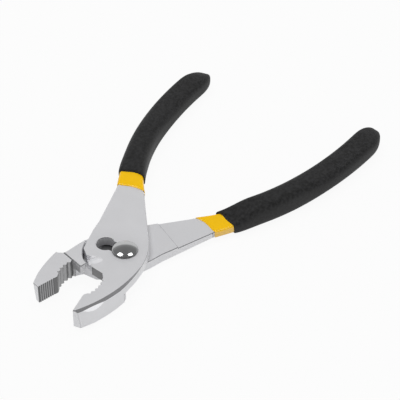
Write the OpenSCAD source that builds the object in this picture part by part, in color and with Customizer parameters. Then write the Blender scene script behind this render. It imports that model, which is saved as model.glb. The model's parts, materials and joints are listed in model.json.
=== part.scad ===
// Slip joint pliers: two crossed levers on a sliding pivot, with twice dipped handles.
// The pivot axis is the Z axis, the jaws point along -Y and the tool lies on its nut and grips.

/* [Head] */
// Thickness of the two lapped plates together
head_t = 10; // [6:0.1:16]
// Gap between the two lapped plates
lap_gap = 0.3; // [0.1:0.05:0.6]
// Greatest reach of the head from the mating line
head_reach = 17.3; // [12:0.1:26]
// Drop of the greatest reach below the pivot
reach_drop = 6.5; // [3:0.1:12]
// Radius of the long outer curve of the jaw
wall_r = 67; // [50:0.1:100]
// Radius of the curve from the head into the shank
corner_r = 38; // [28:0.1:60]
// Height where the back edge turns in towards the heel
heel_y = 8; // [4:0.1:12]
// Reach of the heel corner behind the mating line
heel_reach = 13.2; // [9:0.1:18]
// Drop of the heel corner below the pivot
heel_drop = 5.4; // [3:0.1:8]
// Reach of the back edge from the mating line
back_reach = 14.5; // [10:0.1:22]

/* [Jaws] */
// Length of the jaws below the pivot
nose_l = 45.8; // [36:0.1:70]
// Radius of the nose corner
nose_r = 2; // [0.5:0.1:3]
// Gap between the flat grips when closed
jaw_gap = 0.9; // [0.3:0.05:1.5]
// Radius of the hollow pipe grip
pipe_r = 13.4; // [9:0.1:20]
// Deepest reach of the pipe grip from the mating line
pipe_reach = 4.4; // [3:0.1:7]
// Drop of the pipe grip centre below the pivot
pipe_drop = 25.2; // [18:0.1:38]
// Number of pipe teeth gaps
tooth_n = 5; // [3:1:9]
// Spacing of the pipe teeth along the curve
tooth_pitch = 2.4; // [1.5:0.1:4]
// Depth of the pipe teeth
tooth_d = 1; // [0.5:0.05:2]
// Turn of the first tooth gap above the pipe grip centre
tooth_start = 9; // [4:1:24]
// Number of fine grooves in the flat grip
groove_n = 8; // [4:1:14]
// Spacing of the fine grooves
groove_pitch = 1.15; // [0.6:0.05:2]
// Depth of the fine grooves
groove_d = 0.32; // [0.1:0.02:0.6]
// Distance of the first groove from the nose
groove_start = 0.9; // [0.4:0.05:2]
// Radius of the bevel edge along the jaw
bevel_r = 65; // [48:0.1:98]
// Greatest reach of the bevel edge from the mating line
bevel_reach = 17.2; // [12:0.1:26]
// Drop of the bevel edge's greatest reach below the pivot
bevel_drop = 2.9; // [1:0.1:6]
// Depth of the bevel
bevel_d = 1; // [0.3:0.05:1.5]
// Width of the bevel
bevel_w = 1.3; // [0.4:0.05:1.8]
// Draft of the jaw's wall below the bevel
wall_draft = 1; // [0:0.1:2]
// Lean of the flat on the outer edge of the nose
flat_lean = 13; // [8:1:40]
// Direction that the flat on the outer edge faces
flat_turn = -33; // [-42:0.5:-24]
// Reach of the flat on the outer edge
flat_reach = 27.55; // [25:0.05:40]
// Width of the bevel over the nose
nose_bevel = 0.5; // [0.2:0.1:1]
// Reach of the wire cutter behind the mating line
cutter_reach = 4; // [2:0.1:6]
// Drop of the wire cutter's back corner below the pivot
cutter_drop = 16.1; // [13:0.1:20]
// Reach of the wire cutter past the mating line
cutter_end = 3.2; // [2.8:0.1:4]
// Drop of the wire cutter's front end below the pivot
cutter_end_drop = 18.6; // [16:0.1:24]
// Radius of the hollow behind the wire cutter
scoop_r = 3; // [2:0.1:5]
// Slope of the hollow behind the wire cutter
scoop_fall = 25; // [10:1:40]
// Direction of the hollow behind the wire cutter
scoop_turn = 200; // [185:1:225]
// Start of the hollow away from the mating line
scoop_x = 1.2; // [0:0.1:4]
// Start of the hollow below the pivot
scoop_drop = 10; // [8:0.1:14]

/* [Lap] */
// Clear radius round the pivot under the upper jaw
upper_recess_r = 22.4; // [17:0.1:32]
// Clear radius round the pivot over the lower jaw
lower_recess_r = 19.9; // [16:0.1:30]
// Reach of the stop shoulder from the mating line
shoulder_reach = 11.8; // [8:0.1:18]
// Reach of the stop shoulder across the mating line
shoulder_toe = 1; // [0.2:0.1:2]
// Reach of the upper jaw's inner corner from the mating line
corner_reach = 15; // [9:0.1:20]
// Drop of the seam between shoulder and jaw
shoulder_drop = 22.5; // [18:0.1:34]
// Depth of the seam between shoulder and jaw
seam_d = 0.4; // [0.1:0.05:0.8]
// Cut across the corner of the jaw at the shoulder
shoulder_cut = 2.2; // [0.5:0.1:3]

/* [Pivot] */
// Distance of the pivot from the mating line
pivot_reach = 5.6; // [4:0.1:9]
// Angle between the levers as opened
open_angle = 27.5; // [15:0.5:35]
// Diameter of the two slot holes
hole_d = 8.8; // [6:0.1:13]
// Distance between the two slot holes
slot_pitch = 10.4; // [8:0.1:15]
// Direction of the slot across the upper lever
slot_angle = 174.2; // [165:0.1:180]
// Width of the neck between the slot holes
slot_neck = 6; // [4:0.1:9]
// Diameter of the bolt head
bolt_head_d = 12.3; // [10:0.1:18]
// Height of the bolt head
bolt_head_h = 1.95; // [1.6:0.05:4]
// Radius of the domed top of the bolt head
bolt_dome_r = 15.5; // [13:0.5:50]
// Gap under the bolt head
bolt_head_gap = 0.2; // [0.05:0.05:0.5]
// Diameter of the bolt thread
thread_d = 5.4; // [4:0.1:8]
// Width of the nut across its flats
nut_w = 9.6; // [7:0.1:14]
// Height of the nut
nut_h = 3.2; // [2:0.1:6]
// Height of the nut below the lever
nut_proud = 1.2; // [0.6:0.1:2]
// Diameter of the sinking for the nut
sink_d = 12.4; // [9:0.1:18]
// Outer diameter of the washer between the plates
washer_d = 12; // [10:0.1:17]
// Thickness of the washer between the plates
washer_t = 0.6; // [0.3:0.05:1.2]

/* [Handles] */
// Lean of the shank's inner edge
shank_lean = 27; // [20:0.5:33]
// Height where the back edge starts to lean out
shank_start = 15; // [10:0.5:24]
// Step of the shank's inner face from the lap
shank_step = 0.7; // [0.4:0.1:1.2]
// Fall of the shank's outer face towards the band
shank_fall = 1.2; // [0:0.1:2]
// Height where the tang starts to thicken
ramp_y = 57; // [44:0.5:84]
// Height of the pad's edge at the mating line
pad_y = 27.2; // [24:0.1:38]
// Tilt of the pad's edge
pad_tilt = 11; // [0:1:20]
// Height of the widest bow above the pivot
bow_y = 98; // [70:0.5:140]
// Reach of the bow's middle from the mating line
bow_reach = 22.4; // [15:0.1:34]
// Half width of the tang at the bow
tang_half = 4; // [3:0.1:5]
// Half height of the tang at the bow
tang_half_t = 3.4; // [2.8:0.1:5]
// Half height of the tang at its tail
tail_half_t = 2.5; // [2.2:0.1:4]
// Radius of the tang's outer edge below the bow
outer_bow_r = 176; // [120:0.5:260]
// Radius of the tang's inner edge below the bow
inner_bow_r = 106.7; // [80:0.1:170]
// Radius of the handle above the bow
tail_r = 207; // [140:1:320]
// Height of the tang's end above the pivot
tang_end = 140; // [110:0.5:210]

/* [Grips] */
// Height of the first dip's edge above the pivot
band_y = 44.6; // [34:0.1:66]
// Bow of the first dip's edge
band_bow = 1.4; // [0:0.1:2]
// Height of the second dip's edge above the pivot
grip_y = 54.2; // [42:0.1:80]
// Bow of the second dip's edge
grip_bow = 2.2; // [0:0.1:3]
// Height of the upper grip's end above the pivot
upper_end = 153.8; // [118:0.1:225]
// Height of the lower grip's end above the pivot
lower_end = 160.8; // [118:0.1:225]
// Thickness of the first dip
coat_t = 0.6; // [0.4:0.05:0.9]
// Corner radius of the first dip
coat_r = 1.4; // [1:0.05:1.5]
// Half width of the grip at its mouth
mouth_half = 7.05; // [7:0.05:10]
// Half width of the grip at its waist
waist_half = 6.45; // [6:0.05:9]
// Half width of the grip at the palm
palm_half = 7.1; // [5.5:0.05:10]
// Outer height of the grip at its mouth
mouth_top = 5.5; // [5:0.05:9]
// Inner height of the grip at its mouth
mouth_base = -1.3; // [-1.4:0.05:-0.35]
// Half height of the grip at its waist
waist_half_t = 6.2; // [5.6:0.05:9]
// Half height of the grip at the palm
palm_half_t = 4.6; // [4.1:0.05:7]
// Height where the grip's inner side is full
swell_y = 70; // [62:0.5:90]
// Height where the waist starts
waist_y = 76; // [66:0.5:100]
// Height where the waist ends
waist_end = 90; // [78:0.5:126]
// Height where the palm starts
palm_y = 120; // [98:0.5:170]
// Length of the rounded end
end_l = 13; // [10:0.5:30]
// Corner radius as a share of the grip's height
grip_corner_share = 0.34; // [0.2:0.01:0.45]
// Roundness of the mouth edges
lip_r = 0.35; // [0.1:0.05:0.45]

/* [Fit] */
// Radial clearance of the key in the slot holes
run_clear = 0.05; // [0.01:0.01:0.1]
// Clearance between the dips and what they cover
dip_clear = 0.05; // [0.01:0.01:0.1]
// Clearance round the washer
washer_clear = 0.15; // [0.1:0.05:0.3]
// Overrun of every cut past the face it goes through
over = 1; // [0.5:0.5:3]

/* [Hidden] */
$fn = 72;
half_t = head_t / 2;
half_gap = lap_gap / 2;
thin_t = half_t - shank_fall;
lap_z = nut_proud + half_t;
wall_x = head_reach - wall_r;
corner_x = head_reach - corner_r;
pipe_x = pipe_reach - pipe_r;
bevel_x = bevel_reach - bevel_r;
nose_y = nose_r - nose_l;
nose_x = wall_x + sqrt(pow(wall_r - nose_r, 2) - pow(nose_y + reach_drop, 2));
nose_turn = atan2(nose_y + reach_drop, nose_x - wall_x);
tooth_turn = tooth_pitch / pipe_r * 180 / PI;
lean_x = corner_x + corner_r * cos(shank_lean);
lean_y = corner_r * sin(shank_lean) - reach_drop;
key_d = hole_d - 2 * run_clear;
key_w = slot_neck - 2 * run_clear;
washer_bore = hole_d + 2 * washer_clear;
outer_bow_x = outer_bow_r - bow_reach - tang_half;
inner_bow_x = inner_bow_r - bow_reach + tang_half;
coat_end = tang_end + coat_t;
tang_y = band_y - over;
join_y = tang_y + lap_gap;
join_shift = lap_gap / 5;
far = lower_end + nose_l;
ring_n = 5;
flat_n = 3;
coat_rings = 30;
grip_rings = 26;
end_rings = 7;
fade_rings = 2;
end_turn = 84;

// Plan of the lever, with the mating line on the Y axis

module wall_disc() {
    translate([wall_x, -reach_drop]) circle(r = wall_r);
}

module jaw_plan() {
    difference() {
        intersection() {
            wall_disc();
            translate([jaw_gap / 2, -nose_l]) square([head_reach, nose_l - reach_drop]);
        }
        translate([pipe_x, -pipe_drop]) {
            circle(r = pipe_r);
            for (i = [0 : tooth_n - 1])
                rotate(tooth_start - i * tooth_turn)
                    translate([pipe_r, 0]) circle(r = tooth_d, $fn = 4);
        }
        for (i = [0 : groove_n - 1])
            translate([jaw_gap / 2, groove_start - nose_l + i * groove_pitch]) circle(r = groove_d, $fn = 4);
        translate([nose_x, nose_y]) difference() {
            polygon([
                [0, 0],
                [0, -nose_r - over],
                [nose_r + over, -nose_r - over],
                (2 * nose_r) * [cos(nose_turn), sin(nose_turn)]
            ]);
            circle(r = nose_r);
        }
    }
}

module plate_plan() {
    intersection() {
        polygon([
            [-back_reach, far],
            [-back_reach, heel_y],
            [-heel_reach, -heel_drop],
            [-cutter_reach, -cutter_drop],
            [cutter_end, -cutter_end_drop],
            [far, -cutter_end_drop],
            [far, far]
        ]);
        translate([corner_x, -reach_drop]) circle(r = corner_r);
    }
}

module shank_plan() {
    polygon([
        [-back_reach, heel_y],
        [0, heel_y],
        [lean_x, lean_y],
        [tang_right(join_y) - join_shift, join_y],
        [tang_left(join_y) - join_shift, join_y],
        [-back_reach, shank_start]
    ]);
}

// Edges of the tang at a height above the pivot

function drop(r, d) = r - sqrt(r * r - d * d);
function tang_left(y) = drop(y < bow_y ? outer_bow_r : tail_r, y - bow_y) - bow_reach - tang_half;
function tang_right(y) = drop(y < bow_y ? inner_bow_r : tail_r, y - bow_y) - bow_reach + tang_half;
function tang_top(y) = lookup(y, [
    [shank_start, half_t],
    [band_y, thin_t],
    [ramp_y, thin_t],
    [waist_y, tang_half_t],
    [waist_end, tang_half_t],
    [palm_y, tail_half_t]
]);
function tang_base(y) = lookup(y, [
    [ramp_y, shank_step],
    [waist_y, -tang_half_t],
    [waist_end, -tang_half_t],
    [palm_y, -tail_half_t]
]);

module tang_plan(grow) {
    difference() {
        intersection() {
            translate([outer_bow_x, bow_y]) circle(r = outer_bow_r + grow);
            translate([-far, shank_start]) square([far, bow_y - shank_start]);
        }
        translate([inner_bow_x, bow_y]) circle(r = inner_bow_r - grow);
        translate([-far, 0]) square([far, tang_y]);
    }
    difference() {
        intersection() {
            translate([tail_r - bow_reach - tang_half, bow_y]) circle(r = tail_r + grow);
            translate([-far, bow_y]) square([far, tang_end + grow - bow_y]);
        }
        translate([tail_r - bow_reach + tang_half, bow_y]) circle(r = tail_r - grow);
    }
}

module tang(grow) {
    heights = [shank_start, band_y, ramp_y, waist_y, waist_end, palm_y, far];
    intersection() {
        translate([0, 0, -head_t]) linear_extrude(2 * head_t) tang_plan(grow);
        translate([-far, 0, 0]) rotate([90, 0, 90]) linear_extrude(far)
            polygon(concat(
                [for (y = heights) [y, tang_base(y) - grow]],
                [for (i = [len(heights) - 1 : -1 : 0]) [heights[i], tang_top(heights[i]) + grow]]
            ));
    }
}

// One forged lever lying on the outer side of the lap plane

module bevel() {
    translate([bevel_x, -bevel_drop, half_t]) rotate_extrude($fn = 180)
        polygon([
            [bevel_r, 0],
            [bevel_r + bevel_w, -bevel_d],
            [bevel_r + bevel_w + wall_draft, -head_t],
            [bevel_r + head_reach, -head_t],
            [bevel_r + head_reach, over],
            [bevel_r, over]
        ]);
}

module edge_flat() {
    rotate([0, 0, flat_turn]) translate([flat_reach, 0, half_t - bevel_d]) rotate([0, -flat_lean, 0])
        translate([0, -nose_l, -head_t]) cube([head_reach, nose_l, 2 * head_t]);
}

module nose_cut() {
    translate([-over, -nose_l, half_t]) rotate([90, 0, 90]) linear_extrude(head_reach + over)
        polygon([
            [-over, -nose_bevel - over],
            [nose_bevel + over, over],
            [-over, over]
        ]);
}

module jaw_half() {
    difference() {
        linear_extrude(half_t) jaw_plan();
        nose_cut();
    }
}

module inner_jaw(pivot_x, recess_r, reach, toe) {
    difference() {
        translate([0, 0, -half_t]) linear_extrude(half_t) union() {
            jaw_plan();
            if (toe > 0) translate([-toe, -shoulder_drop]) square([toe + reach, shoulder_drop]);
        }
        translate([pivot_x, 0, -head_t]) cylinder(h = head_t + over, r = recess_r);
        translate([-over - toe, -shoulder_drop, -half_t]) rotate([0, 90, 0]) cylinder(h = far, r = seam_d, $fn = 4);
        translate([0, 0, -head_t]) linear_extrude(head_t + over)
            polygon([
                [reach, -shoulder_drop],
                [reach + shoulder_cut, -shoulder_drop - shoulder_cut],
                [far, -shoulder_drop - shoulder_cut],
                [far, 0],
                [reach, 0]
            ]);
    }
}

module lever(pivot_x, recess_r, reach, toe) {
    difference() {
        union() {
            jaw_half();
            linear_extrude(half_t) plate_plan();
            linear_extrude(half_t) shank_plan();
            inner_jaw(pivot_x, recess_r, reach, toe);
        }
        intersection() {
            bevel();
            translate([0, -far, -half_t - over]) cube([far, far, head_t + 2 * over]);
        }
        edge_flat();
        translate([pivot_x, 0, -over]) cylinder(h = over + half_gap, r = recess_r);
        translate([-far, -reach_drop, -over]) cube([2 * far, far, over + half_gap]);
        translate([0, pad_y, -over]) rotate([0, 0, pad_tilt]) translate([-far, 0, 0])
            cube([2 * far, far, over + shank_step]);
        translate([-far, 0, 0]) rotate([90, 0, 90]) linear_extrude(2 * far)
            polygon([
                [shank_start, half_t],
                [band_y, thin_t],
                [band_y, head_t],
                [shank_start, head_t]
            ]);
        translate([-scoop_x, -scoop_drop, half_t]) rotate([0, 0, scoop_turn]) rotate([0, 90 + scoop_fall, 0])
            translate([-scoop_r, 0, -scoop_r]) cylinder(h = nose_l, r = scoop_r);
    }
    tang(0);
}

// Places of the two levers

module upper_place() {
    translate([-pivot_reach, 0, lap_z]) children();
}

module lower_place() {
    rotate([0, 0, -open_angle]) translate([-pivot_reach, 0, lap_z]) rotate([0, 180, 0]) children();
}

module key(d, w, low, high) {
    intersection() {
        translate([0, 0, low]) cylinder(h = high - low, d = d);
        rotate([0, 0, slot_angle]) translate([-d, -w / 2, low]) cube([2 * d, w, high - low]);
    }
}

module upper_lever() {
    slot_h = half_t + 2 * over;
    color("silver") difference() {
        upper_place() lever(pivot_reach, upper_recess_r, corner_reach, 0);
        translate([0, 0, lap_z - over]) {
            cylinder(h = slot_h, d = hole_d);
            rotate([0, 0, slot_angle]) {
                translate([slot_pitch, 0, 0]) cylinder(h = slot_h, d = hole_d);
                translate([0, -slot_neck / 2, 0]) cube([slot_pitch, slot_neck, slot_h]);
            }
        }
    }
}

module lower_lever() {
    sink_top = nut_h + run_clear;
    color("silver") difference() {
        lower_place() lever(-pivot_reach, lower_recess_r, shoulder_reach, shoulder_toe);
        translate([0, 0, -over]) cylinder(h = sink_top + over, d = sink_d);
        translate([0, 0, lap_z - half_gap - washer_t + washer_clear])
            cylinder(h = washer_t + over, d = washer_d + 2 * washer_clear);
        key(hole_d, slot_neck, sink_top - over, lap_z + over);
    }
}

module pivot_bolt() {
    head_z = lap_z + half_t + bolt_head_gap;
    head_top = head_z + bolt_head_h;
    color("silver") union() {
        intersection() {
            translate([0, 0, head_z]) cylinder(h = bolt_head_h, d = bolt_head_d);
            translate([0, 0, head_top - bolt_dome_r]) sphere(r = bolt_dome_r);
        }
        key(key_d, key_w, nut_h + run_clear, head_z + run_clear);
        cylinder(h = lap_z, d = thread_d);
    }
}

module pivot_nut() {
    color("silver") difference() {
        cylinder(h = nut_h, d = nut_w / cos(30), $fn = 6);
        translate([0, 0, -over]) cylinder(h = nut_h + 2 * over, d = thread_d + 2 * run_clear);
    }
}

module friction_washer() {
    color("silver") translate([0, 0, lap_z - half_gap - washer_t + washer_clear + run_clear])
        difference() {
            cylinder(h = washer_t - run_clear, d = washer_d);
            translate([0, 0, -over]) cylinder(h = washer_t + 2 * over, d = washer_bore);
        }
}

// Dipped sleeves and grips, each lofted through rounded sections across the handle

function section(y, left, right, base, top, r, bow) = [
    for (corner = [0 : 3])
        for (i = [0 : ring_n + (corner % 2 == 0 ? flat_n : 0)])
            let (
                turn = 90 * (corner + min(i, ring_n) / ring_n),
                along = (corner == 0 ? -1 : 1) * max(0, i - ring_n) / (flat_n + 1),
                start = corner == 0 || corner == 3 ? right - r : left + r,
                x = start + r * cos(turn) + along * (right - left - 2 * r)
            )
            [
                x,
                y + bow * (1 - pow((2 * x - left - right) / (right - left), 2)),
                (corner < 2 ? top - r : base + r) + r * sin(turn)
            ]
];

module loft(rings) {
    m = len(rings[0]);
    n = len(rings);
    polyhedron(
        points = [for (ring = rings) each ring],
        faces = concat(
            [[for (j = [m - 1 : -1 : 0]) j]],
            [[for (j = [0 : m - 1]) (n - 1) * m + j]],
            [for (i = [0 : n - 2], j = [0 : m - 1]) [i * m + j, i * m + (j + 1) % m, (i + 1) * m + (j + 1) % m]],
            [for (i = [0 : n - 2], j = [0 : m - 1]) [i * m + j, (i + 1) * m + (j + 1) % m, (i + 1) * m + j]]
        )
    );
}

function coat_ring(y, grow, bow) = section(y, tang_left(y) - grow, tang_right(y) + grow,
    tang_base(y) - grow, tang_top(y) + grow, coat_r, bow);

module coat(grow, lip) {
    span = coat_end + grow - band_y;
    loft(concat(
        [coat_ring(band_y, grow - lip, band_bow)],
        [for (i = [0 : coat_rings])
            coat_ring(band_y + lip_r + (span - lip_r) * i / coat_rings, grow, fade(band_bow, i))]
    ));
}

function fade(bow, i) = bow * max(0, 1 - i / fade_rings);
function ease(t) = t <= 0 ? 0 : t >= 1 ? 1 : t * t * (3 - 2 * t);
function mix(a, b, y, from, to) = a + (b - a) * ease((y - from) / (to - from));
function grip_half(y) = y < waist_end ? mix(mouth_half, waist_half, y, grip_y, waist_y)
    : mix(waist_half, palm_half, y, waist_end, palm_y);
function grip_top(y) = y < waist_end ? mix(mouth_top, waist_half_t, y, grip_y, waist_y)
    : mix(waist_half_t, palm_half_t, y, waist_end, palm_y);
function grip_base(y) = y < waist_end ? mix(mouth_base, -waist_half_t, y, grip_y, swell_y)
    : mix(-waist_half_t, -palm_half_t, y, waist_end, palm_y);

function grip_ring(y, share, lip, bow) =
    let (
        mid = (tang_left(y) + tang_right(y)) / 2,
        half = grip_half(y) / cos(atan((tang_left(y + over) - tang_left(y)) / over)) * share - lip,
        top = grip_top(y) * share - lip,
        base = grip_base(y) * share + lip
    )
    section(y, mid - half, mid + half, base, top, (top - base) * grip_corner_share, bow);

module grip_solid(tip_y) {
    round_y = tip_y - end_l;
    loft(concat(
        [grip_ring(grip_y, 1, lip_r, grip_bow)],
        [for (i = [0 : grip_rings])
            let (y = grip_y + lip_r + (round_y - grip_y - lip_r) * i / grip_rings)
            grip_ring(y, 1, 0, fade(grip_bow, i))],
        [for (i = [1 : end_rings])
            let (turn = end_turn * i / end_rings)
            grip_ring(round_y + end_l * sin(turn), cos(turn), 0, 0)]
    ));
}

module sleeve() {
    color("gold") difference() {
        coat(coat_t, lip_r);
        tang(dip_clear);
    }
}

module grip(tip_y) {
    color([0.2, 0.2, 0.2]) difference() {
        grip_solid(tip_y);
        coat(coat_t + dip_clear, 0);
    }
}

module upper_sleeve() {
    upper_place() sleeve();
}

module lower_sleeve() {
    lower_place() sleeve();
}

module upper_grip() {
    upper_place() grip(upper_end);
}

module lower_grip() {
    lower_place() grip(lower_end);
}

upper_lever();
lower_lever();
pivot_bolt();
pivot_nut();
friction_washer();
upper_sleeve();
lower_sleeve();
upper_grip();
lower_grip();
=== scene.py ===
"""Looks of the slip joint pliers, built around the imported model."""

import json
import math
from contextlib import contextmanager

import bpy
from mathutils import Matrix, Vector


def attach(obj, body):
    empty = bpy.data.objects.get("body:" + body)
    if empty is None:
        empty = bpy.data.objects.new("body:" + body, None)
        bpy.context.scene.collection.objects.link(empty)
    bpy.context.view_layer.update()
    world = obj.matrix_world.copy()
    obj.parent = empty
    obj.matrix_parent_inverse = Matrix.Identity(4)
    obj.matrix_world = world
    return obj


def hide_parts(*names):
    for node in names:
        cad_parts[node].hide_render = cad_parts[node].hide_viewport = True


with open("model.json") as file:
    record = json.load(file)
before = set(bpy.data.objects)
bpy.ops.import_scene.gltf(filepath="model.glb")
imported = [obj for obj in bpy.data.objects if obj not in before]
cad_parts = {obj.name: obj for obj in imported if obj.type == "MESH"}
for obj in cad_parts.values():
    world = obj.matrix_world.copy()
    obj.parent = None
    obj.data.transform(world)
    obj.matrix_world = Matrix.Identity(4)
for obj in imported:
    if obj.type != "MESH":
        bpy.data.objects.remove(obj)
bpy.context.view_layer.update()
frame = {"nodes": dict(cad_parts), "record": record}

bl_info = {
    "name": "Slip joint pliers",
    "version": (1, 0, 0),
    "blender": (4, 5, 0),
    "location": "View3D > Sidebar > Pliers",
    "description": "Finishes the forged levers, the pivot and the dipped handles of slip joint pliers",
    "category": "Object",
}

MM = 0.001

# Finishes of a lever's faces, in the order of its materials; two are lit and shaded copies of the cut steel,
# painted light and shade on the flanks of the teeth, one is ground steel darkened as painted shade on the
# chamfers and the seam, and one is a lighter satin, a painted highlight on the scoop
SATIN, CUT, LIT_FLANK, GROUND, LAPPED, EDGE, LIT_SCOOP, SHADED_FLANK = range(8)
PLATED = (SATIN, LAPPED)
# Share of the teeth colour for the cut steel: bare steel, darkened further as painted shade in the grooves of
# the teeth and the cutter and under the bolt's head
CUT_AND_SHADE_SHARE = 0.5

# Zones of a lever in its own frame: across from the mating line, along from the pivot, out from the lap
UPRIGHT = 0.3
OUTER_SIDE = 1 * MM
PIPE_TOP, PIPE_STEP, PIPE_FACING = -21.5 * MM, -33 * MM, 0.3
FLAT_TOP, FLAT_DEPTH, FLAT_FACING = -22.8 * MM, 1 * MM, -0.1
CUTTER_ALONG, CUTTER_ACROSS = (-20 * MM, -16 * MM), (-5 * MM, 4 * MM)
SEAM_DEPTH, SEAM_LEAN, SEAM_END = 0.5 * MM, (0.3, 0.95), 4 * MM
BEVEL_TOP, BEVEL_LEAN, NOSE_TOP = -4 * MM, (0.2, 0.97), -40 * MM
SCOOP_ALONG, SCOOP_LEAN = (-17 * MM, -8 * MM), (0.1, 0.97)
CRISP_ALONG, CRISP_ACROSS = (-20 * MM, -7 * MM), (-12 * MM, 1 * MM)
LAP_DEPTH, LAP_FACING = 0.8 * MM, -0.9

# Painted shade on the lower lever's lap face, where it shows through the free hole of the upper lever's slot:
# an arc round the pivot that the hole sweeps, with ragged edges
LAP_MIDDLE = (0, 0, 6.05 * MM)
SLOT_SHADE_WAY = (-0.943, 0.334, 0)
SLOT_SHADE_COS = 0.78
SLOT_SHADE_BAND = (6.0 * MM, 15.0 * MM)
SLOT_SHADE_FADE, SLOT_SHADE_END_FADE, SLOT_SHADE_RAGGED = 900, 700, 1.6
SLOT_SHADE_TONE = 0.14

# Depths of the marks in each surface, and the weight of the sleeves' coat by how far they face up, stronger
# on the sides as a painted sheen along their rounded edges
SCRATCH, RIPPLE, PITTING = 0.05 * MM, 0.2 * MM, 0.15 * MM
SIDE_SHEEN_STOPS = ((0.5, 1.0), (0.97, 0.28))

# Limits for work on the meshes
MERGE_GAP = 0.001 * MM
FLAT_ANGLE = math.radians(0.4)
STEEL_SMOOTH = math.radians(32)
DIP_SMOOTH = math.radians(40)
CREASE_ANGLE = math.radians(50)
QUAD_FOLD, QUAD_SKEW = math.radians(30), math.radians(60)
LARGE_FACE_WEIGHT = 80
PIVOT_SEGMENTS = 3

# Studio, in metres: the sky's levels go by height, and the soft boxes stand behind the object
WHITE = (1, 1, 1, 1)
FLOOR_PAINT = (0.70, 0.70, 0.70, 1)
SKY_STOPS = ((0.0, 0.78), (0.40, 0.78), (0.49, 0.34), (0.64, 0.24), (1.0, 0.18))
KEY_HEIGHT, KEY_SIZE = 1.4, 1.6
BOX_ACROSS, BOX_BACK, BOX_HEIGHT, BOX_SIZE = 0.37, 0.32, 1.2, 0.3
CLIP_NEAR, CLIP_FAR = 0.01, 50


# Sizes and colours that a user would change


class PliersShape(bpy.types.PropertyGroup):
    """Sizes of the finished pieces."""

    edge_round: bpy.props.FloatProperty(
        name="Forged edge", description="Width of the chamfer on the edges of the levers",
        default=0.26 * MM, min=0.02 * MM, max=0.4 * MM, precision=5, unit="LENGTH")
    edge_angle: bpy.props.FloatProperty(
        name="Edge angle", description="Edges sharper than this are chamfered or rounded",
        default=math.radians(24), subtype="ANGLE")
    pivot_round: bpy.props.FloatProperty(
        name="Pivot edge", description="Rounding of the edges of the bolt and the nut",
        default=0.4 * MM, min=0.02 * MM, max=0.6 * MM, precision=5, unit="LENGTH")
    pivot_reach: bpy.props.FloatProperty(
        name="Pivot reach", description="Distance of the pivot from each lever's mating line",
        default=5.6 * MM, precision=5, unit="LENGTH")
    lap_height: bpy.props.FloatProperty(
        name="Lap height", description="Height of the plane where the two plates meet",
        default=6.2 * MM, precision=5, unit="LENGTH")
    open_angle: bpy.props.FloatProperty(
        name="Opening", description="Angle of the lower lever as opened",
        default=math.radians(27.5), subtype="ANGLE")
    plate: bpy.props.FloatProperty(
        name="Plate", description="Thickness of one lapped plate",
        default=5.0 * MM, precision=5, unit="LENGTH")
    pipe_middle: bpy.props.FloatVectorProperty(
        name="Pipe grip", description="Middle of the hollow pipe grip from the mating line and the pivot",
        default=(-9.0 * MM, -25.2 * MM), size=2, unit="LENGTH")
    pipe_radius: bpy.props.FloatProperty(
        name="Pipe radius", description="Radius of the hollow pipe grip with its teeth",
        default=14.6 * MM, precision=5, unit="LENGTH")
    jaw_length: bpy.props.FloatProperty(
        name="Jaw", description="Length of the jaws below the pivot", default=45.8 * MM, unit="LENGTH")


class PliersFinish(bpy.types.PropertyGroup):
    """Colours and gloss of the finishes."""

    steel: bpy.props.FloatVectorProperty(
        name="Steel", description="Colour of the satin plating",
        default=(0.80, 0.80, 0.82), subtype="COLOR", min=0, max=1)
    steel_metal: bpy.props.FloatProperty(
        name="Steel lustre", description="How far the satin plating mirrors rather than scatters",
        default=0.35, min=0, max=1, subtype="FACTOR")
    steel_rough: bpy.props.FloatProperty(
        name="Steel roughness", description="Roughness of the satin plating",
        default=0.36, min=0, max=1, subtype="FACTOR")
    # Cut steel, kept dark partly as bare steel and partly as painted shade in the grooves of the teeth and
    # the cutter
    teeth: bpy.props.FloatVectorProperty(
        name="Cut steel", description="Colour of the teeth and the cutter, cut through the plating",
        default=(0.33, 0.33, 0.335), subtype="COLOR", min=0, max=1)
    bright: bpy.props.FloatVectorProperty(
        name="Bright steel", description="Colour of the polished bolt and nut",
        default=(0.60, 0.605, 0.61), subtype="COLOR", min=0, max=1)
    first_dip: bpy.props.FloatVectorProperty(
        name="First dip", description="Colour of the glossy sleeves",
        default=(1.0, 0.575, 0.003), subtype="COLOR", min=0, max=1)
    second_dip: bpy.props.FloatVectorProperty(
        name="Second dip", description="Colour of the matt grips",
        default=(0.010, 0.010, 0.0105), subtype="COLOR", min=0, max=1)


class PliersStage(bpy.types.PropertyGroup):
    """View and light."""

    azimuth: bpy.props.FloatProperty(
        name="Azimuth", description="Turn of the camera round the pivot axis",
        default=math.radians(21.741), subtype="ANGLE")
    elevation: bpy.props.FloatProperty(
        name="Elevation", description="Height of the camera above the table",
        default=math.radians(39.401), subtype="ANGLE")
    roll: bpy.props.FloatProperty(
        name="Roll", description="Turn of the camera about its own axis",
        default=math.radians(0.124), subtype="ANGLE")
    distance: bpy.props.FloatProperty(
        name="Distance", description="Distance of the camera from the aim point",
        default=722.79 * MM, unit="LENGTH")
    aim: bpy.props.FloatVectorProperty(
        name="Aim", description="Point that the camera looks at",
        default=(26.97 * MM, 26.89 * MM, 29.45 * MM), subtype="XYZ", unit="LENGTH")
    lens: bpy.props.FloatProperty(
        name="Lens", description="Focal length on a 36 mm sensor, in millimetres", default=139.34)
    floor_size: bpy.props.FloatProperty(
        name="Floor", description="Width of the floor", default=6.0, unit="LENGTH")
    floor_glow: bpy.props.FloatProperty(
        name="Floor glow", description="Share of the floor that is plain white to the eye",
        default=0.93, min=0, max=1, subtype="FACTOR")
    key_power: bpy.props.FloatProperty(
        name="Key light", description="Power of the large soft light overhead", default=10.4, unit="POWER")
    box_power: bpy.props.FloatProperty(
        name="Soft boxes", description="Power of each of the two small soft boxes", default=1.4, unit="POWER")


# Shader maths


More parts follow.
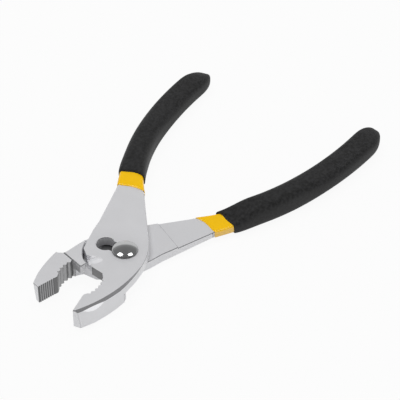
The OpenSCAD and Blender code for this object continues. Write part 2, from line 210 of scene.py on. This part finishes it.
class Shade:
    """A shader socket that Python operators work on."""

    tree = None

    def __init__(self, socket):
        self.socket = socket

    @staticmethod
    def input_key(name):
        """The number of an input that is called i0, i1 and so on, or else the input's name."""
        return int(name[1:]) if name[0] == "i" and name[1:].isdigit() else name.replace("_", " ")

    @classmethod
    def node(cls, kind, settings=None, **inputs):
        """Adds a node: its settings first, then the values or links of its sockets."""
        made = cls.tree.nodes.new(kind)
        for name, value in (settings or {}).items():
            setattr(made, name, value)
        for name, value in inputs.items():
            socket = made.inputs[cls.input_key(name)]
            if isinstance(value, Shade):
                cls.tree.links.new(value.socket, socket)
            else:
                socket.default_value = value
        return made

    @classmethod
    def maths(cls, operation, *values):
        inputs = {f"i{i}": value for i, value in enumerate(values)}
        return cls(cls.node("ShaderNodeMath", {"operation": operation}, **inputs).outputs[0])

    def __add__(self, other):
        return Shade.maths("ADD", self, other)

    __radd__ = __add__

    def __sub__(self, other):
        return Shade.maths("SUBTRACT", self, other)

    def __rsub__(self, other):
        return Shade.maths("SUBTRACT", other, self)

    def __mul__(self, other):
        return Shade.maths("MULTIPLY", self, other)

    __rmul__ = __mul__

    def clamp(self):
        return Shade(Shade.node("ShaderNodeClamp", Value=self).outputs[0])


def place():
    """The point on the piece, in metres."""
    return Shade(Shade.node("ShaderNodeTexCoord").outputs["Object"])


def height_of(vector):
    """The upright part of a vector."""
    return Shade(Shade.node("ShaderNodeSeparateXYZ", Vector=vector).outputs["Z"])


def upward():
    """How far the surface faces up: 1 on top, 0 on an upright wall."""
    return height_of(Shade(Shade.node("ShaderNodeNewGeometry").outputs["Normal"]))


def measured(operation, at, other):
    """One number from two vectors, such as their distance."""
    return Shade(Shade.node("ShaderNodeVectorMath", {"operation": operation}, i0=at, i1=other).outputs[1])


def noise(at, scale, detail, rough=0.5):
    made = Shade.node("ShaderNodeTexNoise", Vector=at, Scale=scale, Detail=detail, Roughness=rough)
    return Shade(made.outputs[0])


def ramp(value, *stops):
    """A grey that follows the stops, each a place and a level."""
    made = Shade.node("ShaderNodeValToRGB", Fac=value)
    elements = made.color_ramp.elements
    while len(elements) > 1:
        elements.remove(elements[-1])
    for i, (position, level) in enumerate(stops):
        stop = elements.new(position) if i else elements[0]
        stop.position = position
        stop.color = (level, level, level, 1)
    return Shade(made.outputs[0])


def stretched(at, scale, turn=0.0):
    """The point with each direction scaled, for marks that run one way."""
    return Shade(Shade.node("ShaderNodeMapping", Vector=at, Rotation=(0, 0, turn), Scale=scale).outputs[0])


def tinted(colour, low, high, mask):
    """A colour that goes from its low share to its high share over a mask."""
    dark, light = ([min(1, c * share) for c in colour] + [1] for share in (low, high))
    made = Shade.node("ShaderNodeMix", {"data_type": "RGBA"}, Factor=mask, i6=dark, i7=light)
    return Shade(made.outputs[2])


def varied(middle, *strays):
    """A value from 0 to 1 that strays from its middle by a spread over each mask."""
    value = middle
    for spread, mask in strays:
        value = value + spread * (mask - 0.5)
    return value.clamp()


def bumped(height, strength, distance):
    return Shade(Shade.node("ShaderNodeBump", Height=height, Strength=strength, Distance=distance).outputs[0])


def surface(name, make, **constants):
    """A material whose principled shader takes what make gives and the constants."""
    material = bpy.data.materials.new(name)
    material.use_nodes = True
    material.node_tree.nodes.clear()
    Shade.tree = material.node_tree
    shader = Shade.node("ShaderNodeBsdfPrincipled", None, **make(), **constants)
    out = Shade.node("ShaderNodeOutputMaterial")
    material.node_tree.links.new(shader.outputs[0], out.inputs[0])
    return material


# Materials


def satin_steel(finish, name, share, metal):
    """Satin plating with a faint brushed grain."""
    def make():
        at = place()
        grain = noise(stretched(at, scale=(900, 260, 900), turn=math.radians(8)), scale=4.0, detail=3.0)
        cloud = noise(at, scale=90.0, detail=3.0)
        return {
            "Base_Color": tinted(finish.steel, low=0.96 * share, high=1.03 * share, mask=cloud),
            "Roughness": varied(finish.steel_rough, (0.05, cloud), (0.05, grain)),
            "Normal": bumped(grain, strength=0.02, distance=SCRATCH),
        }
    return surface(name, make, Metallic=metal)


def lapped_steel(finish):
    """Satin plating with painted shade where the lap face shows through the upper lever's slot hole."""
    def make():
        at = place()
        away = measured("DISTANCE", at, LAP_MIDDLE)
        along = measured("DOT_PRODUCT", at, SLOT_SHADE_WAY)
        lap_noise = noise(at, scale=420.0, detail=4.0)
        ragged = SLOT_SHADE_RAGGED * (lap_noise - 0.5)
        inner = (SLOT_SHADE_FADE * (away - SLOT_SHADE_BAND[0]) + ragged).clamp()
        outer = (SLOT_SHADE_FADE * (SLOT_SHADE_BAND[1] - away) + ragged).clamp()
        swept = (SLOT_SHADE_END_FADE * (along - SLOT_SHADE_COS * away) + 0.5 + ragged).clamp()
        return {
            # The base colour darkens over the mask: painted shade of the slot hole
            "Base_Color": tinted(finish.steel, low=1.0, high=SLOT_SHADE_TONE, mask=inner * outer * swept),
            "Roughness": varied(finish.steel_rough, (0.1, lap_noise)),
            "Normal": bumped(lap_noise, strength=0.04, distance=SCRATCH),
        }
    return surface("lapped_steel", make, Metallic=finish.steel_metal)


def ground_steel(finish, name, share):
    """Polished bevels and edges with fine grinding lines."""
    def make():
        grind = noise(stretched(place(), scale=(900, 900, 200)), scale=3.0, detail=3.0)
        return {
            "Base_Color": tinted(finish.steel, low=0.95 * share, high=1.06 * share, mask=grind),
            "Roughness": varied(0.22, (0.1, grind)),
            "Normal": bumped(grind, strength=0.05, distance=SCRATCH),
        }
    return surface(name, make, Metallic=1.0)


def cut_steel(finish, name, share):
    """Bare steel with the streaks of the cutting tool."""
    def make():
        streak = noise(stretched(place(), scale=(700, 700, 120)), scale=4.0, detail=3.0)
        return {
            "Base_Color": tinted(finish.teeth, low=0.8 * share, high=1.2 * share, mask=streak),
            "Roughness": varied(0.34, (0.12, streak)),
            "Normal": bumped(streak, strength=0.15, distance=SCRATCH),
        }
    return surface(name, make, Metallic=1.0)


def bright_steel(finish):
    """The polished steel of the bolt, the nut and the washer."""
    def make():
        swirl = noise(place(), scale=420.0, detail=3.0)
        return {
            "Base_Color": tinted(finish.bright, low=0.95, high=1.03, mask=swirl),
            "Roughness": varied(0.10, (0.06, swirl)),
            "Normal": bumped(swirl, strength=0.02, distance=SCRATCH),
        }
    return surface("bright_steel", make, Metallic=1.0)


def gloss_dip(finish):
    """The first dip: glossy, with a stronger coat on its sides as a painted sheen along the rounded edges."""
    def make():
        wave = noise(place(), scale=160.0, detail=2.0)
        return {
            "Base_Color": tinted(finish.first_dip, low=0.96, high=1.02, mask=wave),
            "Roughness": varied(0.40, (0.08, wave)),
            "Normal": bumped(wave, strength=0.06, distance=RIPPLE),
            # The coat is stronger where the sleeve faces sideways: a painted sheen along the rounded edges
            "Coat_Weight": ramp(upward(), *SIDE_SHEEN_STOPS),
        }
    return surface("gloss_dip", make, Specular_IOR_Level=0.0, Coat_IOR=2.1, Coat_Roughness=0.14)


def matt_dip(finish):
    """The second dip: matt and lightly speckled."""
    def make():
        at = place()
        speckle = noise(at, scale=700.0, detail=3.0, rough=0.6)
        cloud = noise(at, scale=60.0, detail=2.0)
        dots = ramp(speckle, (0.38, 0), (0.62, 1))
        return {
            "Base_Color": tinted(finish.second_dip, low=0.4, high=1.9, mask=dots),
            "Roughness": varied(0.62, (0.16, cloud), (0.2, speckle)),
            "Normal": bumped(speckle, strength=0.6, distance=PITTING),
        }
    return surface("matt_dip", make, IOR=1.45)


# Steps that every piece shares


def only(piece):
    """Makes the piece the one that the next operators act on."""
    bpy.ops.object.select_all(action="DESELECT")
    piece.select_set(True)
    bpy.context.view_layer.objects.active = piece


@contextmanager
def editing(piece, action):
    """Edit mode on one piece, with all or none of it selected."""
    only(piece)
    bpy.ops.object.mode_set(mode="EDIT")
    bpy.ops.mesh.select_all(action=action)
    yield
    bpy.ops.object.mode_set(mode="OBJECT")


def merged_copy(node, name):
    """A copy of a node's mesh with its loose triangles joined at their corners."""
    piece = bpy.data.objects.new(name, frame["nodes"][node].data.copy())
    piece.data.name = name
    piece.data.materials.clear()
    bpy.context.scene.collection.objects.link(piece)
    only(piece)
    bpy.ops.mesh.customdata_custom_splitnormals_clear()
    with editing(piece, "SELECT"):
        bpy.ops.mesh.remove_doubles(threshold=MERGE_GAP)
    return piece


def flats(piece):
    """Joins the triangles of each flat face into one face."""
    with editing(piece, "SELECT"):
        bpy.ops.mesh.dissolve_limited(angle_limit=FLAT_ANGLE)


def quads(piece):
    """Joins pairs of triangles into four-sided faces."""
    with editing(piece, "SELECT"):
        bpy.ops.mesh.tris_convert_to_quads(face_threshold=QUAD_FOLD, shape_threshold=QUAD_SKEW)


def modified(piece, kind, **settings):
    """Adds a modifier with these settings and applies it."""
    only(piece)
    bpy.ops.object.modifier_add(type=kind)
    made = piece.modifiers[-1]
    for name, value in settings.items():
        setattr(made, name, value)
    bpy.ops.object.modifier_apply(modifier=made.name)


def smooth(piece, angle):
    """Shades the piece smooth, apart from edges sharper than the angle."""
    only(piece)
    bpy.ops.object.shade_smooth_by_angle(angle=angle)


def stand_for(piece, node, slot, *materials):
    """Puts the finished piece in the place of its node."""
    for material in materials:
        piece.data.materials.append(material)
    body = next(name for name, nodes in frame["record"]["behaviour"]["bodies"].items() if node in nodes)
    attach(piece, body)
    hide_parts(node)


def sharp_edges(piece, angle):
    """Tells for each edge of the piece whether it is sharper than the angle."""
    with editing(piece, "DESELECT"):
        bpy.ops.mesh.select_mode(type="EDGE")
        bpy.ops.mesh.edges_select_sharp(sharpness=angle)
    return [edge.select for edge in piece.data.edges]


def weigh(piece, name, chosen):
    """Gives each edge the weight 1 where it is chosen, and 0 elsewhere."""
    weight = piece.data.attributes.new(name, "FLOAT", "EDGE")
    weight.data.foreach_set("value", [float(edge) for edge in chosen])


# Places on a lever


def own_frame(side, shape):
    """Turns a point of the scene into the lever's own place: mating line, pivot height, lap plane."""
    shift = Matrix.Translation((shape.pivot_reach, 0, -shape.lap_height))
    if side == "upper":
        return shift
    return Matrix.Rotation(math.pi, 4, "Y") @ shift @ Matrix.Rotation(shape.open_angle, 4, "Z")


def within(value, band):
    return band[0] < value < band[1]


def toothed(at, facing, side, shape):
    """The finish of a cut face in the pipe grip, the flat grip or the cutter, or None; the two flanks of each
    tooth get lit and shaded copies of the cut steel by the way they face, as painted light and shade.
    """
    inward = Vector(shape.pipe_middle) - at.xy
    in_pipe = inward.length < shape.pipe_radius and at.y < PIPE_TOP
    if in_pipe and inward.dot(facing.xy) > PIPE_FACING * inward.length:
        if at.y < PIPE_STEP:
            return CUT
        # A pipe tooth's flanks: a shaded copy on one side, a lit copy on the other, as painted shade and
        # light
        return SHADED_FLANK if inward.cross(facing.xy) < 0 else LIT_FLANK
    if at.y < FLAT_TOP and facing.x < FLAT_FACING and abs(at.x) < FLAT_DEPTH:
        # A flat tooth's flank facing the tip keeps the dark cut steel and the other takes the lit copy, as
        # painted shade and light
        return CUT if facing.y < 0 else LIT_FLANK
    in_cutter = within(at.y, CUTTER_ALONG) and within(at.x, CUTTER_ACROSS)
    if side == "upper" and in_cutter and facing.y < 0:
        return CUT
    return None


def steel_finish(at, facing, side, shape):
    """Which steel finish, or painted light or shade, a face of a lever has, by its own place and the way it
    faces.
    """
    cut = toothed(at, facing, side, shape) if abs(facing.z) < UPRIGHT else None
    if cut is not None:
        return cut
    in_seam = abs(at.z + shape.plate) < SEAM_DEPTH and at.y > SEAM_END - shape.jaw_length
    # The seam's groove takes the darkened edge steel, painted shade in the crease
    if in_seam and within(abs(facing.z), SEAM_LEAN):
        return EDGE
    if at.z > OUTER_SIDE:
        on_bevel = at.y < BEVEL_TOP and (facing.x > 0 or at.y < NOSE_TOP)
        if on_bevel and within(facing.z, BEVEL_LEAN):
            return GROUND
        # The scoop takes the lighter satin, a painted highlight
        if within(at.y, SCOOP_ALONG) and at.x < 0 and within(facing.z, SCOOP_LEAN):
            return LIT_SCOOP
    # The lap face takes the satin with the painted shade of the slot hole
    if side == "lower" and facing.z < LAP_FACING and abs(at.z) < LAP_DEPTH:
        return LAPPED
    return SATIN


def mark_edges(piece, own, angle):
    """Gives the chamfer's weight to every sharp edge between plated faces, away from the scoop."""
    sharp = sharp_edges(piece, angle)
    mesh = piece.data
    crisp = {key for face in mesh.polygons if face.material_index not in PLATED for key in face.edge_keys}
    for edge in mesh.edges:
        start, end = (mesh.vertices[i].co for i in edge.vertices)
        spot = own @ ((start + end) / 2)
        if within(spot.y, CRISP_ALONG) and within(spot.x, CRISP_ACROSS):
            crisp.add(edge.key)
    weigh(piece, "bevel_weight_edge", [s and e.key not in crisp for s, e in zip(sharp, mesh.edges)])


# Operators


class PLIERS_OT_levers(bpy.types.Operator):
    """Finish the two forged levers with chamfered edges and cut teeth"""

    bl_idname = "pliers.levers"
    bl_label = "Forged Levers"

    def execute(self, context):
        shape, finish = context.scene.pliers_shape, context.scene.pliers_finish
        steels = [
            satin_steel(finish, "satin_steel", share=1.0, metal=finish.steel_metal),
            cut_steel(finish, "cut_steel", share=CUT_AND_SHADE_SHARE),
            # Lit copy of the cut steel for one flank of the teeth: painted light
            cut_steel(finish, "lit_flank_steel", share=1.05),
            ground_steel(finish, "ground_steel", share=1.1),
            lapped_steel(finish),
            # Ground steel darkened for the chamfers and the seam: painted shade
            ground_steel(finish, "shaded_edge_steel", share=0.66),
            # Lighter satin for the scoop: a painted highlight
            satin_steel(finish, "lit_scoop_steel", share=1.14, metal=0.2),
            # Dark copy of the cut steel for the other flank of the teeth: painted shade
            cut_steel(finish, "shaded_flank_steel", share=0.28),
        ]
        for side in ("upper", "lower"):
            piece = merged_copy(side + "_lever", side + "_forging")
            flats(piece)
            for steel in steels:
                piece.data.materials.append(steel)
            own = own_frame(side, shape)
            for face in piece.data.polygons:
                face.material_index = steel_finish(own @ face.center, own.to_3x3() @ face.normal, side, shape)
            mark_edges(piece, own, shape.edge_angle)
            # The chamfers take the darkened edge steel, painted shade along the edges
            modified(piece, "BEVEL", width=shape.edge_round, segments=1, limit_method="WEIGHT",
                     use_clamp_overlap=False, material=EDGE)
            smooth(piece, STEEL_SMOOTH)
            modified(piece, "WEIGHTED_NORMAL", keep_sharp=True, weight=LARGE_FACE_WEIGHT)
            stand_for(piece, side + "_lever", "satin_steel")
        return {"FINISHED"}


class PLIERS_OT_pivot(bpy.types.Operator):
    """Finish the pivot bolt, its nut and the washer between the plates"""

    bl_idname = "pliers.pivot"
    bl_label = "Pivot"

    def execute(self, context):
        shape, finish = context.scene.pliers_shape, context.scene.pliers_finish
        bright = bright_steel(finish)
        cut = bpy.data.materials.get("cut_steel") or cut_steel(finish, "cut_steel", share=CUT_AND_SHADE_SHARE)
        for node in ("pivot_bolt", "pivot_nut"):
            piece = merged_copy(node, node + "_bright")
            flats(piece)
            for face in piece.data.polygons:
                # The bolt's upright faces, the rim of its head and its shank, take the dark cut steel:
                # painted shade under the head and in the hole
                face.material_index = int(node == "pivot_bolt" and abs(face.normal.z) < UPRIGHT)
            modified(piece, "BEVEL", width=shape.pivot_round, segments=PIVOT_SEGMENTS, limit_method="ANGLE",
                     angle_limit=shape.edge_angle, use_clamp_overlap=False)
            smooth(piece, STEEL_SMOOTH)
            modified(piece, "WEIGHTED_NORMAL", keep_sharp=True)
            stand_for(piece, node, "bright_steel", bright, cut)
        washer = frame["nodes"]["friction_washer"]
        washer.data.materials.clear()
        washer.data.materials.append(bright)
        return {"FINISHED"}


class PLIERS_OT_dips(bpy.types.Operator):
    """Finish the glossy sleeves and the matt grips on the handles"""

    bl_idname = "pliers.dips"
    bl_label = "Dipped Handles"

    def execute(self, context):
        finish = context.scene.pliers_finish
        gloss, matt = gloss_dip(finish), matt_dip(finish)
        for side in ("upper", "lower"):
            for part, slot, material in (("sleeve", "yellow_dip", gloss), ("grip", "black_dip", matt)):
                node = side + "_" + part
                piece = merged_copy(node, node + "_dip")
                quads(piece)
                weigh(piece, "crease_edge", sharp_edges(piece, CREASE_ANGLE))
                modified(piece, "SUBSURF", levels=1, render_levels=1)
                smooth(piece, DIP_SMOOTH)
                stand_for(piece, node, slot, material)
        return {"FINISHED"}


class PLIERS_OT_stage(bpy.types.Operator):
    """Set up the floor, the light and the camera"""

    bl_idname = "pliers.stage"
    bl_label = "Stage"

    def execute(self, context):
        stage = context.scene.pliers_stage
        context.scene.view_settings.view_transform = "Standard"
        self.floor(stage)
        self.sky(context.scene)
        self.lamps(context.scene, stage)
        self.camera(context.scene, stage)
        return {"FINISHED"}

    def floor(self, stage):
        """A floor that looks plain white to the eye and lights the object as pale paint."""
        bpy.ops.object.select_all(action="DESELECT")
        bpy.ops.mesh.primitive_plane_add(size=stage.floor_size, location=(0, 0, 0))
        floor = bpy.context.active_object
        floor.name = "floor"
        material = bpy.data.materials.new("pale_floor")
        material.use_nodes = True
        tree = Shade.tree = material.node_tree
        tree.nodes.clear()
        path = Shade.node("ShaderNodeLightPath").outputs
        seen = [Shade(path[name]) for name in ("Is Camera Ray", "Is Glossy Ray", "Is Transmission Ray")]
        share = (seen[0] + seen[1] + seen[2]).clamp() * stage.floor_glow
        paint = Shade(Shade.node("ShaderNodeBsdfDiffuse", Color=FLOOR_PAINT).outputs[0])
        glow = Shade(Shade.node("ShaderNodeEmission", Color=WHITE, Strength=1.0).outputs[0])
        mixed = Shade.node("ShaderNodeMixShader", None, i0=share, i1=paint, i2=glow)
        out = Shade.node("ShaderNodeOutputMaterial")
        tree.links.new(mixed.outputs[0], out.inputs[0])
        floor.data.materials.append(material)

    def sky(self, scene):
        """Bright surroundings that darken with height."""
        scene.world = bpy.data.worlds.new("studio")
        scene.world.use_nodes = True
        tree = Shade.tree = scene.world.node_tree
        tree.nodes.clear()
        height = height_of(Shade(Shade.node("ShaderNodeTexCoord").outputs["Generated"]))
        back = Shade.node("ShaderNodeBackground", Color=ramp(height.clamp(), *SKY_STOPS), Strength=1.0)
        out = Shade.node("ShaderNodeOutputWorld")
        tree.links.new(back.outputs[0], out.inputs[0])

    def lamps(self, scene, stage):
        """A large light overhead that no steel mirrors, and two small soft boxes that it does."""
        overhead = self.lamp(scene, "overhead", Vector((0, 0, KEY_HEIGHT)), "DISK", KEY_SIZE, stage.key_power)
        overhead.visible_glossy = False
        turn = Matrix.Rotation(stage.azimuth, 4, "Z")
        for name, across in (("left_box", -BOX_ACROSS), ("right_box", BOX_ACROSS)):
            where = turn @ Vector((across, BOX_BACK, BOX_HEIGHT))
            self.lamp(scene, name, where, "SQUARE", BOX_SIZE, stage.box_power)

    def lamp(self, scene, name, where, shape, size, power):
        """An area light at a place, aimed at the pivot."""
        data = bpy.data.lights.new(name, "AREA")
        data.shape = shape
        data.size = size
        data.energy = power
        lamp = bpy.data.objects.new(name, data)
        lamp.matrix_world = Matrix.Translation(where) @ where.to_track_quat("Z", "Y").to_matrix().to_4x4()
        scene.collection.objects.link(lamp)
        return lamp

    def camera(self, scene, stage):
        """The photograph's view."""
        data = bpy.data.cameras.new("camera")
        data.lens = stage.lens
        data.clip_start, data.clip_end = CLIP_NEAR, CLIP_FAR
        camera = bpy.data.objects.new("camera", data)
        turn = (Matrix.Rotation(stage.azimuth, 4, "Z")
                @ Matrix.Rotation(math.pi / 2 - stage.elevation, 4, "X")
                @ Matrix.Rotation(stage.roll, 4, "Z"))
        back = turn @ Vector((0, 0, 1)) * stage.distance
        camera.matrix_world = Matrix.Translation(Vector(stage.aim) + back) @ turn
        scene.collection.objects.link(camera)
        scene.camera = camera


class PLIERS_PT_panel(bpy.types.Panel):
    """Lists the settings and the steps in the sidebar"""

    bl_idname = "PLIERS_PT_panel"
    bl_label = "Pliers"
    bl_space_type = "VIEW_3D"
    bl_region_type = "UI"
    bl_category = "Pliers"

    def draw(self, context):
        for group in (context.scene.pliers_shape, context.scene.pliers_finish, context.scene.pliers_stage):
            column = self.layout.column()
            for name in group.__annotations__:
                column.prop(group, name)
        for step in STEPS:
            self.layout.operator(step.bl_idname)


GROUPS = {"pliers_shape": PliersShape, "pliers_finish": PliersFinish, "pliers_stage": PliersStage}
STEPS = (PLIERS_OT_levers, PLIERS_OT_pivot, PLIERS_OT_dips, PLIERS_OT_stage)


def register():
    for item in (*GROUPS.values(), *STEPS, PLIERS_PT_panel):
        bpy.utils.register_class(item)
    for name, group in GROUPS.items():
        setattr(bpy.types.Scene, name, bpy.props.PointerProperty(type=group))


def unregister():
    for name in GROUPS:
        delattr(bpy.types.Scene, name)
    for item in (PLIERS_PT_panel, *reversed(STEPS), *reversed(GROUPS.values())):
        bpy.utils.unregister_class(item)


def main():
    register()
    bpy.ops.pliers.stage()
    bpy.ops.pliers.levers()
    bpy.ops.pliers.pivot()
    bpy.ops.pliers.dips()


if __name__ == "__main__":
    main()
